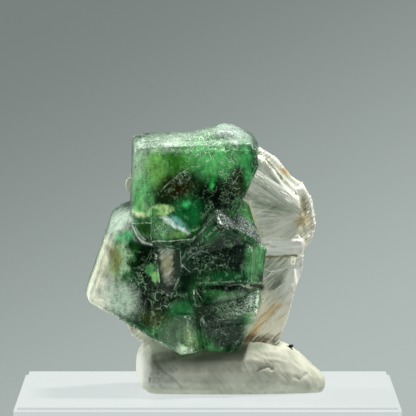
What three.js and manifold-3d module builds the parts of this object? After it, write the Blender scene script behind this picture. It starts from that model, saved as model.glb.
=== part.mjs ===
// Green fluorite cubes grown together on a block of muscovite mica, standing in a lump of mounting putty.
// Millimetres, +Z up, and the crystals face -Y. The origin is the middle of the footprint, on the surface
// below.
import * as THREE from "three";
import { ConvexGeometry } from "three/addons/geometries/ConvexGeometry.js";
import { mergeVertices } from "three/addons/utils/BufferGeometryUtils.js";
import Module from "manifold-3d";

const wasm = await Module();
wasm.setup();

// Driving dimensions. The specimen alone is about 31 mm wide and 31 mm tall.
const CONTACT_GAP = 0.3; // left between two minerals, and between the specimen and its putty
const EDGE_BEVEL = 0.3; // blunted edge of a large cube
const TERRACE_RISE = 0.18; // one growth step on a cube face
const TERRACE_SET_IN = [0.15, 1.65]; // least and most that a step's sides stand back
const MICA_FRONT = 0.6; // where the main block of sheets starts, behind the crystals
const MICA_SHEET = 1.0; // from one sheet of the main block to the next
const MICA_LAP = 0.4; // how far each of those sheets runs into the next
const SHEAF_BACK = 2.2; // how deep the edge-on sheets are rooted in the block
const SHEET_NOSE = 0.8; // how unevenly their front edges end
const SHEET_TWIST = 5; // how far one of them turns out of line, in degrees
const BOOK_SHEET = 0.6; // thickness of one sheet of a book on the back
const BLADE_FRONT = -8.15; // the tip of the mica blade that shows between two crystals
const BLADE_BACK = 6.4; // where it is rooted in the block behind them
const PUTTY_ROUND = [20, 17]; // facets round the putty lump and along it

const UP = new THREE.Vector3(0, 0, 1);

// A repeatable stream of numbers from 0 to 1.
function chance(seed) {
  let state = seed * 2654435761;
  return () => {
    state = (Math.imul(state ^ (state >>> 15), 2246822519) + 374761393) >>> 0;
    return ((state ^ (state >>> 13)) >>> 0) / 4294967296;
  };
}

// A three.js geometry as a solid that can be joined and cut.
function solidOf(geometry) {
  const bare = geometry.clone();
  bare.deleteAttribute("normal");
  bare.deleteAttribute("uv");
  const merged = mergeVertices(bare, 1e-4);
  return new wasm.Manifold(
    new wasm.Mesh({
      numProp: 3,
      vertProperties: merged.attributes.position.array,
      triVerts: new Uint32Array(merged.index.array),
    }),
  );
}

const join = (solids) => solids.reduce((whole, next) => whole.add(next));

// Crumbs that a cut leaves loose are dropped.
const largestPiece = (solid) => solid.decompose().sort((a, b) => b.volume() - a.volume())[0];

function meshOf(solid, name, material) {
  const { vertProperties, triVerts } = solid.getMesh();
  const geometry = new THREE.BufferGeometry()
    .setAttribute("position", new THREE.BufferAttribute(vertProperties, 3))
    .setIndex(new THREE.BufferAttribute(triVerts, 1));
  const mesh = new THREE.Mesh(geometry, material);
  mesh.name = name;
  return mesh;
}

// The corners of the convex body inside a set of flat faces, each a normal and a distance from the origin.
function cornersOf(faces) {
  const corners = [];
  const crossing = new THREE.Vector3();
  const pair = new THREE.Vector3();
  faces.forEach((a, i) =>
    faces.slice(i + 1).forEach((b, j) =>
      faces.slice(i + j + 2).forEach((c) => {
        const volume = a.normal.dot(pair.crossVectors(b.normal, c.normal));
        if (Math.abs(volume) < 1e-4) return;
        crossing.copy(pair).multiplyScalar(a.distance);
        crossing.addScaledVector(pair.crossVectors(c.normal, a.normal), b.distance);
        crossing.addScaledVector(pair.crossVectors(a.normal, b.normal), c.distance);
        crossing.divideScalar(volume);
        if (faces.every((f) => f.normal.dot(crossing) < f.distance + 1e-6)) corners.push(crossing.clone());
      }),
    ),
  );
  return corners;
}

const bodyOf = (faces) => solidOf(new ConvexGeometry(cornersOf(faces)));

// Every edge that is sharp enough to chip is blunted by a narrow face of its own.
function blunted(faces, bevel, random) {
  const corners = cornersOf(faces);
  const lies = (corner, face) => Math.abs(face.normal.dot(corner) - face.distance) < 1e-4;
  const extra = faces.flatMap((a, i) =>
    faces.slice(i + 1).flatMap((b) => {
      const edge = corners.find((corner) => lies(corner, a) && lies(corner, b));
      if (!edge || a.normal.dot(b.normal) > 0.8) return [];
      const normal = a.normal.clone().add(b.normal).normalize();
      return [{ normal, distance: normal.dot(edge) - bevel * (0.4 + 0.8 * random()) * 0.7 }];
    }),
  );
  return [...faces, ...extra];
}

// Growth terraces: copies of the body moved out along one face, with their other sides set in.
function terraced(faces, main, levels, random) {
  const bodies = [bodyOf(faces)];
  for (const face of main)
    for (let level = 1; level <= levels; level++) {
      const walls = faces.map((f) => {
        const facing = f.normal.dot(face.normal);
        const aside = Math.abs(facing) < 0.3;
        const inset = aside ? THREE.MathUtils.lerp(...TERRACE_SET_IN, random()) * level : 0;
        return { normal: f.normal, distance: f.distance + facing * TERRACE_RISE * level - inset };
      });
      bodies.push(bodyOf(walls));
    }
  return join(bodies);
}

const faceThrough = (normal, point) => {
  const unit = new THREE.Vector3(...normal).normalize();
  return { normal: unit, distance: unit.dot(new THREE.Vector3(...point)) };
};

// A cube: its middle, where its own x and z point, and half its size each way.
function cubeFaces({ at, right, up, half }) {
  const x = new THREE.Vector3(...right).normalize();
  const z = new THREE.Vector3(...up);
  z.addScaledVector(x, -z.dot(x)).normalize();
  const y = new THREE.Vector3().crossVectors(z, x);
  const middle = new THREE.Vector3(...at);
  return [x, y, z].flatMap((axis, i) =>
    [-1, 1].map((side) => {
      const normal = axis.clone().multiplyScalar(side);
      return { normal, distance: normal.dot(middle) + half[i] };
    }),
  );
}

// The average corner of an outline.
const middleOf = (outline) => [0, 1].map((k) => outline.reduce((sum, p) => sum + p[k], 0) / outline.length);

// A crystal whose front face looks at -Y: the corners of that face clockwise in x and z, then how far
// each side leans outwards on its way back, in degrees.
function blockFaces({ outline, leans, front, back, facing = [0, -1, 0] }) {
  const sides = outline.map(([x, z], i) => {
    const [nextX, nextZ] = outline[(i + 1) % outline.length];
    const outwards = new THREE.Vector3(z - nextZ, 0, nextX - x).normalize();
    const lean = THREE.MathUtils.degToRad(leans[i]);
    const normal = outwards.multiplyScalar(Math.cos(lean)).add(new THREE.Vector3(0, -Math.sin(lean), 0));
    return { normal, distance: normal.dot(new THREE.Vector3(x, front, z)) };
  });
  const middle = middleOf(outline);
  const face = faceThrough(facing, [middle[0], front, middle[1]]);
  return [face, { normal: new THREE.Vector3(0, 1, 0), distance: back }, ...sides];
}

function crystal(shape, grow = 0) {
  const random = chance(shape.seed);
  const plain = shape.outline ? blockFaces(shape) : cubeFaces(shape);
  const cuts = (shape.slants ?? []).map(({ facing, through }) => faceThrough(facing, through));
  const main = plain.slice(0, 6);
  const faces = blunted([...plain, ...cuts], shape.bevel ?? EDGE_BEVEL, random);
  faces.forEach((f) => (f.distance += grow));
  return terraced(faces, main, shape.terraces ?? 1, random);
}

// The crystals, each as it stands: x to the right, z up, and y the depth, which is negative in front.
const CRYSTALS = {
  upper: {
    outline: [
      [-9.3, 33.6],
      [6.4, 34.2],
      [7.0, 31.2],
      [4.4, 25.4],
      [2.8, 22.4],
      [-1.0, 20.8],
      [-5.0, 19.8],
      [-8.5, 20.5],
      [-9.7, 22.7],
    ],
    leans: [4.5, -2, -4, 0, 0, -6, -6, -4, 2.5],
    front: -9,
    back: 3.4,
    facing: [-0.02, -1, -0.03],
    terraces: 2,
    seed: 3,
  },
  upperCorner: {
    outline: [
      [-2.0, 34.5],
      [2.8, 35.8],
      [6.1, 34.2],
      [7.0, 32.6],
      [6.5, 29.0],
      [-2.0, 29.0],
    ],
    leans: [4, 5, 4, 1, 0, 0],
    front: -6.4,
    back: 2,
    facing: [0.12, -1, 0.1],
    seed: 5,
  },
  left: {
    outline: [
      [-15.6, 12.8],
      [-12.6, 21.5],
      [-9.2, 24.3],
      [-1.0, 24.6],
      [1.5, 19.0],
      [-1.4, 10.3],
      [-1.3, 6.5],
      [-3.2, 5.6],
    ],
    leans: [3, 9, 6, 0, 0, 0, -8, 1],
    front: -8,
    back: 4.6,
    facing: [-0.06, -1, 0.02],
    bevel: 0.5,
    seed: 8,
  },
  leftShoulder: {
    at: [-9.1, -0.6, 20.9],
    right: [0.72, 0.1, -0.69],
    up: [0.69, -0.1, 0.72],
    half: [3.4, 3.7, 3.5],
    bevel: 0.8,
    seed: 13,
  },
  foot: {
    at: [-3.6, -5.7, 8.3],
    right: [0.93, -0.34, 0.06],
    up: [-0.09, 0.04, 1],
    half: [2.9, 2.9, 2.6],
    slants: [{ facing: [-0.52, 0, -0.86], through: [-3.2, -8, 5.8] }],
    seed: 144,
  },
  dark: {
    at: [1.6, -5.2, 22.1],
    right: [0.728, 0.569, -0.382],
    up: [-0.205, 0.713, 0.67],
    half: [3.9, 3.9, 3.9],
    seed: 21,
  },
  darkBase: {
    outline: [
      [-1.8, 20.8],
      [5.2, 21.0],
      [6.3, 20.0],
      [6.2, 15.1],
      [-1.8, 14.8],
      [-3.2, 17.5],
    ],
    leans: [0, 0, 8, -4, -6, 0],
    front: -8.4,
    back: 2,
    facing: [0.05, -1, -0.12],
    seed: 34,
  },
  darkSide: {
    at: [4.5, -3.8, 17.7],
    right: [0.8, -0.58, -0.08],
    up: [0.12, 0.05, 1],
    half: [2.9, 2.4, 2.5],
    seed: 36,
  },
  behindDark: {
    at: [2.6, -1.4, 20.9],
    right: [0.68, 0.05, -0.73],
    up: [0.73, 0, 0.68],
    half: [4.2, 3.6, 3.2],
    terraces: 0,
    seed: 55,
  },
  lower: {
    at: [4.0, -4.4, 9.5],
    right: [0.97, -0.14, 0.1],
    up: [-0.05, -0.46, 0.88],
    half: [3.8, 3.6, 3.5],
    slants: [{ facing: [0.845, 0.05, -0.535], through: [7.2, -5, 10.9] }],
    bevel: 0.45,
    seed: 89,
  },
  inner: {
    outline: [
      [-3.0, 17.0],
      [5.4, 17.0],
      [5.6, 12.0],
      [4.0, 8.0],
      [-3.0, 8.0],
    ],
    leans: [0, 0, 0, 0, 0],
    front: -6.2,
    back: 2,
    facing: [0.08, -1, 0.05],
    terraces: 0,
    seed: 91,
  },
  stub: {
    at: [-1.8, -6.6, 13.4],
    right: [0.9, -0.4, 0.1],
    up: [0.05, 0.1, 1],
    half: [1.2, 1.5, 1.5],
    bevel: 0.2,
    terraces: 0,
    seed: 90,
  },
};

const fluoriteForm = (grow) => join(Object.values(CRYSTALS).map((shape) => crystal(shape, grow)));

// A flat-sided prism of an outline drawn in x and z, from depth `front` to `front + thickness`.
function prism(outline, front, thickness) {
  const shape = new THREE.Shape(outline.map(([x, z]) => new THREE.Vector2(x, z)));
  const plate = new THREE.ExtrudeGeometry(shape, { depth: thickness, bevelEnabled: false });
  return plate.rotateX(Math.PI / 2).translate(0, front + thickness, 0);
}

// An outline drawn in towards a point, each corner a little differently.
function drawnIn(outline, middle, share, ragged, random) {
  return outline.map(([x, z]) => {
    const keep = 1 - share - ragged * random();
    return [middle[0] + (x - middle[0]) * keep, middle[1] + (z - middle[1]) * keep];
  });
}

// The edge of the mica seen from the front, clockwise from its upper left.
const MICA_OUTLINE = [
  [-10.3, 29.3],
  [-7.8, 31.4],
  [0.5, 31.8],
  [6.8, 33.4],
  [9.8, 31.5],
  [11.8, 29.0],
  [13.4, 28.0],
  [14.6, 25.8],
  [15.0, 22.8],
  [14.5, 20.6],
  [13.4, 19.4],
  [13.2, 16.8],
  [12.1, 13.4],
  [11.2, 10.0],
  [9.8, 6.5],
  [6.4, 5.4],
  [-1.0, 5.4],
  [-7.2, 5.8],
  [-9.8, 7.4],
  [-10.6, 9.2],
  [-9.2, 15.0],
  [-9.6, 22.0],
  [-10.7, 28.0],
];
const MICA_MIDDLE = [2.2, 18.6];
const MICA_REACH = { front: -8, thickness: 20 }; // nothing but the blade stands out of this

// The main block: sheets one behind the other. Each is drawn in towards a place of its own, so that the
// back falls away in ledges, and leans a little more than the one before it.
const BLOCK = [
  { towards: [2.2, 18.6], share: 0.05, lean: [0, 0] },
  { towards: [2.2, 18.6], share: 0, lean: [0, 0] },
  { towards: [2.2, 18.6], share: 0.01, lean: [0.5, -0.5] },
  { towards: [6.0, 14.0], share: 0.07, lean: [1, -2] },
  { towards: [8.0, 20.0], share: 0.1, lean: [1, -3] },
  { towards: [-1.0, 22.0], share: 0.15, lean: [3, -3] },
  { towards: [5.0, 24.0], share: 0.22, lean: [5, -2] },
  { towards: [0.0, 14.0], share: 0.3, lean: [5, -4] },
  { towards: [6.0, 20.0], share: 0.42, lean: [6, -5] },
  { towards: [-2.0, 19.0], share: 0.55, lean: [8, -5] },
];
const MICA_RADIUS = 14; // from its middle to its edge, for growing an outline by a distance
const LEDGE_RAGGED = 0.06; // how unevenly a ledge is drawn in, as a share
function micaBlock(grow) {
  const random = chance(7);
  const thickness = MICA_SHEET + MICA_LAP + 2 * grow;
  return BLOCK.map(({ towards, share, lean }, i) => {
    const ragged = share > 0 ? LEDGE_RAGGED : 0;
    const outline = drawnIn(MICA_OUTLINE, towards, share - grow / MICA_RADIUS, ragged, random);
    const plate = prism(outline, 0, thickness).translate(-MICA_MIDDLE[0], -grow, -MICA_MIDDLE[1]);
    plate.rotateX(THREE.MathUtils.degToRad(lean[0])).rotateZ(THREE.MathUtils.degToRad(lean[1]));
    return solidOf(plate.translate(MICA_MIDDLE[0], MICA_FRONT + i * MICA_SHEET, MICA_MIDDLE[1]));
  });
}

// Sheaves of sheets seen edge-on beside the crystals: each fills its own outline, with its sheets at
// one angle and their edges standing out by different amounts.
const SHEAVES = [
  {
    outline: [
      [4.9, 26.0],
      [5.4, 31.5],
      [7.0, 32.4],
      [8.5, 31.4],
      [10.5, 28.3],
      [12.7, 26.4],
      [13.3, 23.7],
      [11.2, 25.1],
      [8.0, 25.9],
    ],
    angle: -35,
    pitch: 0.94,
    front: -3.4,
    slope: 0.1,
    seed: 11,
  },
  {
    outline: [
      [4.9, 26.3],
      [8.4, 26.1],
      [11.3, 25.2],
      [13.2, 23.6],
      [12.6, 21.6],
      [8.2, 20.4],
      [6.2, 23.4],
    ],
    angle: 22,
    pitch: 0.9,
    front: -2.6,
    slope: -0.08,
    seed: 12,
  },
  {
    outline: [
      [6.8, 20.9],
      [10.3, 20.9],
      [12.7, 21.4],
      [13.4, 20.2],
      [13.0, 18.5],
      [6.8, 18.6],
    ],
    angle: 3,
    pitch: 1.3,
    front: -3.3,
    slope: 0,
    seed: 14,
  },
  {
    outline: [
      [6.6, 18.2],
      [11.9, 18.2],
      [11.3, 16.1],
      [9.9, 14.3],
      [8.2, 12.7],
      [6.0, 13.4],
    ],
    angle: 28,
    pitch: 0.94,
    front: -2.2,
    slope: 0.12,
    seed: 15,
  },
  {
    outline: [
      [10.0, 14.2],
      [11.8, 17.4],
      [12.4, 14.0],
      [11.2, 10.0],
      [9.8, 6.5],
      [6.4, 5.4],
      [4.0, 5.4],
      [4.6, 9.0],
      [8.2, 12.5],
    ],
    angle: 54,
    pitch: 1.1,
    front: -2.9,
    slope: 0.12,
    seed: 16,
  },
  {
    outline: [
      [12.4, 27.6],
      [13.4, 28.0],
      [14.6, 25.8],
      [15.0, 22.8],
      [14.5, 20.6],
      [13.4, 19.4],
      [13.2, 16.8],
      [12.1, 13.4],
      [11.5, 13.6],
      [12.2, 17.4],
      [13.2, 21.0],
      [13.3, 24.6],
    ],
    angle: -80,
    pitch: 0.8,
    front: -3.0,
    slope: 0.3,
    seed: 17,
  },
  {
    outline: [
      [6.4, 33.4],
      [7.0, 33.5],
      [9.8, 31.5],
      [11.8, 29.0],
      [13.4, 28.0],
      [12.6, 26.9],
      [10.6, 28.2],
      [8.6, 31.3],
    ],
    angle: -42,
    pitch: 0.8,
    front: -1.6,
    slope: 0,
    seed: 18,
  },
];
function sheaf({ outline, angle, pitch, front, slope, seed }, grow) {
  const random = chance(seed);
  const middle = middleOf(outline);
  const reach = Math.max(...outline.map(([x, z]) => Math.hypot(x - middle[0], z - middle[1])));
  const count = Math.ceil(reach / pitch);
  const sheets = Array.from({ length: 2 * count + 1 }, (_, i) => {
    const nose = front + slope * (i - count) + SHEET_NOSE * random() - grow;
    const sheet = new THREE.BoxGeometry(2.4 * reach, SHEAF_BACK - nose, pitch * 1.25 + 2 * grow);
    const edge = sheet.attributes.position;
    const slant = 0.6 * SHEET_NOSE * (random() - 0.5);
    for (let k = 0; k < edge.count; k++)
      if (edge.getY(k) < 0) edge.setY(k, edge.getY(k) + slant * Math.sign(edge.getZ(k)));
    sheet.translate(0, (nose - SHEAF_BACK) / 2, 0);
    sheet.rotateX(THREE.MathUtils.degToRad(SHEET_TWIST * (random() - 0.5)));
    sheet.translate(0, SHEAF_BACK, pitch * (i - count));
    sheet.rotateY(-THREE.MathUtils.degToRad(angle + SHEET_TWIST * (random() - 0.5)));
    return solidOf(sheet.translate(middle[0], 0, middle[1]));
  });
  const bounds = solidOf(prism(drawnIn(outline, middle, -grow / reach, 0, random), -12, 20));
  return join(sheets).intersect(bounds);
}

// Six-sided books of sheets that overlap on the back of the block, each leaning its own way.
const BOOKS = [
  { at: [8.4, 4.6, 25.0], facing: [0.55, 0.68, 0.48], radius: 5.6, count: 5 },
  { at: [-6.6, 4.6, 24.6], facing: [-0.62, 0.72, 0.3], radius: 5.4, count: 4 },
  { at: [10.2, 4.0, 13.6], facing: [0.75, 0.65, -0.12], radius: 4.6, count: 4 },
  { at: [-3.4, 5.6, 11.4], facing: [-0.3, 0.8, -0.52], radius: 5.6, count: 5 },
  { at: [6.4, 7.4, 10.8], facing: [0.3, 0.86, -0.4], radius: 4.6, count: 4 },
];
function micaBook({ at, facing, radius, count }, seed, grow) {
  const random = chance(seed);
  const spin = random() * Math.PI;
  const turn = new THREE.Quaternion().setFromUnitVectors(UP, new THREE.Vector3(...facing).normalize());
  return Array.from({ length: count }, (_, i) => {
    const shape = new THREE.Shape(
      Array.from({ length: 6 }, (_, k) => {
        const angle = spin + ((k + 0.3 * random()) * Math.PI) / 3;
        const reach = radius * (1 - 0.1 * i) * (0.86 + 0.2 * random()) + grow;
        return new THREE.Vector2(reach * Math.cos(angle), reach * Math.sin(angle));
      }),
    );
    const deep = i === 0 ? radius * 0.8 : BOOK_SHEET * 1.05;
    const plate = new THREE.ExtrudeGeometry(shape, { depth: deep + 2 * grow, bevelEnabled: false });
    plate.translate(0.4 * random(), 0.4 * random(), BOOK_SHEET * i - (i === 0 ? deep : 0) - grow);
    plate.applyQuaternion(turn);
    return solidOf(plate.translate(...at));
  });
}

// A pale blade of mica that comes forward between the left crystal and the dark one.
const BLADE_OUTLINE = [
  [-6.2, 19.6],
  [-3.5, 19.5],
  [-3.6, 16.8],
  [-4.6, 14.0],
  [-5.7, 14.9],
];
function micaBlade(grow) {
  const centre = [-4.8, 17.0];
  const outline = BLADE_OUTLINE.map(([x, z]) => {
    const out = new THREE.Vector2(x - centre[0], z - centre[1]);
    const keep = 1 + (grow * 1.3) / out.length();
    return [centre[0] + out.x * keep, centre[1] + out.y * keep];
  });
  const open = BLADE_FRONT - 8 * grow; // a pocket cut for it is open in front
  return solidOf(prism(outline, open, BLADE_BACK - open));
}

function micaForm(grow) {
  const outline = drawnIn(MICA_OUTLINE, MICA_MIDDLE, -grow / MICA_RADIUS, 0, () => 0);
  const whole = solidOf(prism(outline, MICA_REACH.front, MICA_REACH.thickness));
  const rough = join([
    ...micaBlock(grow),
    ...SHEAVES.map((shape) => sheaf(shape, grow)),
    ...BOOKS.flatMap((book, i) => micaBook(book, 31 + i, grow)),
  ]);
  return rough.intersect(whole).add(micaBlade(grow));
}

// The putty: a rolled lump pressed flat below, drawn out to a blunt nose on the right. Each row is one
// section of it: x, then the lowest and highest point, then half its depth.
const PUTTY_SECTIONS = [
  [-9.2, 3.4, 3.4, 0],
  [-9.1, 2.2, 5.2, 3.0],
  [-8.6, 0.9, 6.3, 5.2],
  [-7.3, -0.3, 6.9, 6.9],
  [-3.8, -0.5, 7.0, 7.9],
  [0.4, -0.5, 7.1, 8.3],
  [4.6, -0.5, 7.1, 8.1],
  [8.2, -0.5, 7.1, 7.2],
  [10.7, -0.5, 6.8, 6.3],
  [12.6, -0.5, 5.4, 5.2],
  [14.3, -0.4, 3.8, 4.0],
  [15.6, -0.3, 2.8, 2.8],
  [16.2, 0.3, 2.2, 1.5],
  [16.4, 1.2, 1.2, 0],
];
const PUTTY_MIDDLE_DEPTH = 0.2;
const PUTTY_DENT = 0.03; // how deep the finger dents are, as a share of its half depth
function puttyForm() {
  const curveOf = (pick) =>
    new THREE.CatmullRomCurve3(PUTTY_SECTIONS.map((row) => new THREE.Vector3(...pick(row))));
  const profile = curveOf(([x, low, high]) => [x, low, high]);
  const girth = curveOf(([x, , , deep]) => [x, deep, 0]);
  const lump = new THREE.SphereGeometry(1, ...PUTTY_ROUND).rotateZ(Math.PI / 2);
  const place = lump.attributes.position;
  const squared = (value, power) => Math.sign(value) * Math.pow(Math.abs(value), power);
  for (let i = 0; i < place.count; i++) {
    const across = new THREE.Vector2(place.getY(i), place.getZ(i));
    const share = Math.acos(THREE.MathUtils.clamp(-place.getX(i), -1, 1)) / Math.PI;
    const open = across.length() > 1e-6 ? 1 : 0;
    across.normalize();
    const section = profile.getPoint(share);
    const waves = Math.sin(share * 19 + across.x * 2.3) - Math.cos(share * 11 - across.y * 3);
    const reach = girth.getPoint(share).y * (1 + PUTTY_DENT * waves) * open;
    const rise = ((section.z - section.y) / 2) * open;
    const level = (section.y + section.z) / 2;
    const deep = PUTTY_MIDDLE_DEPTH + reach * squared(across.x, 0.8);
    place.setXYZ(i, section.x, deep, level + rise * squared(across.y, 0.75));
  }
  const above = new THREE.BoxGeometry(80, 80, 40).translate(0, 0, 20);
  return solidOf(lump).intersect(solidOf(above));
}

const FLUORITE = new THREE.MeshStandardMaterial({ color: 0x3f8f57, roughness: 0.12, metalness: 0 });
const MUSCOVITE = new THREE.MeshStandardMaterial({ color: 0xc9cab8, roughness: 0.45, metalness: 0 });
const PUTTY = new THREE.MeshStandardMaterial({ color: 0xc4c3ad, roughness: 0.85, metalness: 0 });

const cluster = largestPiece(fluoriteForm(0).subtract(micaBlade(CONTACT_GAP)));
const room = fluoriteForm(CONTACT_GAP).subtract(micaBlade(0));
const matrix = largestPiece(micaForm(0).subtract(room));
const putty = largestPiece(puttyForm().subtract(fluoriteForm(CONTACT_GAP)).subtract(micaForm(CONTACT_GAP)));

const specimen = new THREE.Group();
specimen.add(
  meshOf(cluster, "fluorite_crystals", FLUORITE),
  meshOf(matrix, "muscovite_matrix", MUSCOVITE),
  meshOf(putty, "mounting_putty", PUTTY),
);

// The middle of the footprint goes to the origin.
const footprint = new THREE.Box3().setFromObject(specimen);
const middle = footprint.getCenter(new THREE.Vector3());
specimen.position.set(-middle.x, -middle.y, -footprint.min.z);

export default specimen;
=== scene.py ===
import math
from functools import reduce

import bmesh
import bpy
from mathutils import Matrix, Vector


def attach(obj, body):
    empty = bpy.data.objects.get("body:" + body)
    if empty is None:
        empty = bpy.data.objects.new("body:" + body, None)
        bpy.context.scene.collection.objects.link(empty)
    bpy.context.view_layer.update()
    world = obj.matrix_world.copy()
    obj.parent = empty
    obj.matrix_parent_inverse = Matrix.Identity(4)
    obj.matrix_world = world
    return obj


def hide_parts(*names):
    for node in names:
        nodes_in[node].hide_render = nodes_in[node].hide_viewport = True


# Looks of a fluorite on muscovite specimen standing in mounting putty.
# Sizes and places are in millimetres; X is to the right, Y away from the viewer and Z up.

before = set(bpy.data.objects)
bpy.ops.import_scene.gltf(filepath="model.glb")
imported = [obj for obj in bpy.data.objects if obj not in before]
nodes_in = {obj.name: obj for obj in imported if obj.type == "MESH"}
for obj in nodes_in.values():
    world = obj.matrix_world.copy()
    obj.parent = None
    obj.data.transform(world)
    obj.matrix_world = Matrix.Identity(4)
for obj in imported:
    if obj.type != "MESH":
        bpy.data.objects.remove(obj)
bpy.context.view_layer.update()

MM = 0.001
PER_METRE = 1000.0

# How fine the surfaces are modelled.
CRYSTAL_VOXEL = 0.18
CORE_VOXEL = 0.26
MICA_VOXEL = 0.185
PUTTY_VOXEL = 0.17

CLEAR_SKIN = 0.55  # how far inside the crystals their coloured growth zones start
REFRACTION = 1.434  # fluorite
MICA_REFRACTION = 1.58
CLOUDINESS = 0.45  # the share of light that the crystals' veils send back from just under the skin
ABSORPTION = 60.0  # how fast the clear fluorite takes light up, per metre
PAINTED_INNER_GLOW = 0.54  # painted glow: light that the crystals send out of their own, as a share of a zone's own colour
PAINTED_SHEET_GLOW = 0.31  # the same painted glow for the mica's thin sheets
PAINTED_BACK_GLOW = 0.3  # how much of that painted glow is left on the mica's back

SEAM_REACH = 0.55  # how far apart two pieces may lie and still be brought together
SEAM_NEAR = 0.7  # within this share of that reach, points move as far as they may
SEAM_CLOSED = 0.85  # how far that is, as a share of the way to the other piece

SPECK = (11.6, -1.9, 6.3)  # a grain of dirt on the putty
SPECK_RADIUS = 0.28
SPECK_LUMPS, SPECK_WAVE, SPECK_START = 0.3, 9, 5  # how high its lumps are, how close and where they start

AIM = (0.4, 0.0, 24.85)  # what the camera and the lamps are turned to
CAMERA_DISTANCE = 750.0
CAMERA_RISE = 3.64  # degrees
LENS = 480.0

FRONT_AIR = 0.08  # the studio's light from in front of the specimen, as a share of the light from behind


class Field:
    """One socket of a node tree. Arithmetic on it adds the Math nodes that work the result out."""

    def __init__(self, nodes, socket):
        self.nodes, self.socket = nodes, socket

    def maths(self, operation, *values):
        return self.nodes.add("ShaderNodeMath", {"operation": operation}, dict(enumerate(values)))

    def __add__(self, other):
        return self.maths("ADD", self, other)

    def __radd__(self, other):
        return self.maths("ADD", other, self)

    def __sub__(self, other):
        return self.maths("SUBTRACT", self, other)

    def __rsub__(self, other):
        return self.maths("SUBTRACT", other, self)

    def __mul__(self, other):
        return self.maths("MULTIPLY", self, other)

    def __rmul__(self, other):
        return self.maths("MULTIPLY", other, self)

    def __truediv__(self, other):
        return self.maths("DIVIDE", self, other)

    def __pow__(self, other):
        return self.maths("POWER", self, other)

    def __abs__(self):
        return self.maths("ABSOLUTE", self)

    def most(self, other):
        return self.maths("MAXIMUM", self, other)

    def least(self, other):
        return self.maths("MINIMUM", self, other)

    def toward(self, other, share):
        return self + (other - self) * share

    def rise(self, low, high):
        """0 at low, 1 at high and a smooth step between; the other way round where low is the larger."""
        settings = {"interpolation_type": "SMOOTHSTEP"}
        return self.nodes.add("ShaderNodeMapRange", settings, {0: self, 1: low, 2: high})


def greatest(fields):
    """The largest of several fields."""
    return reduce(Field.most, fields)


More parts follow.
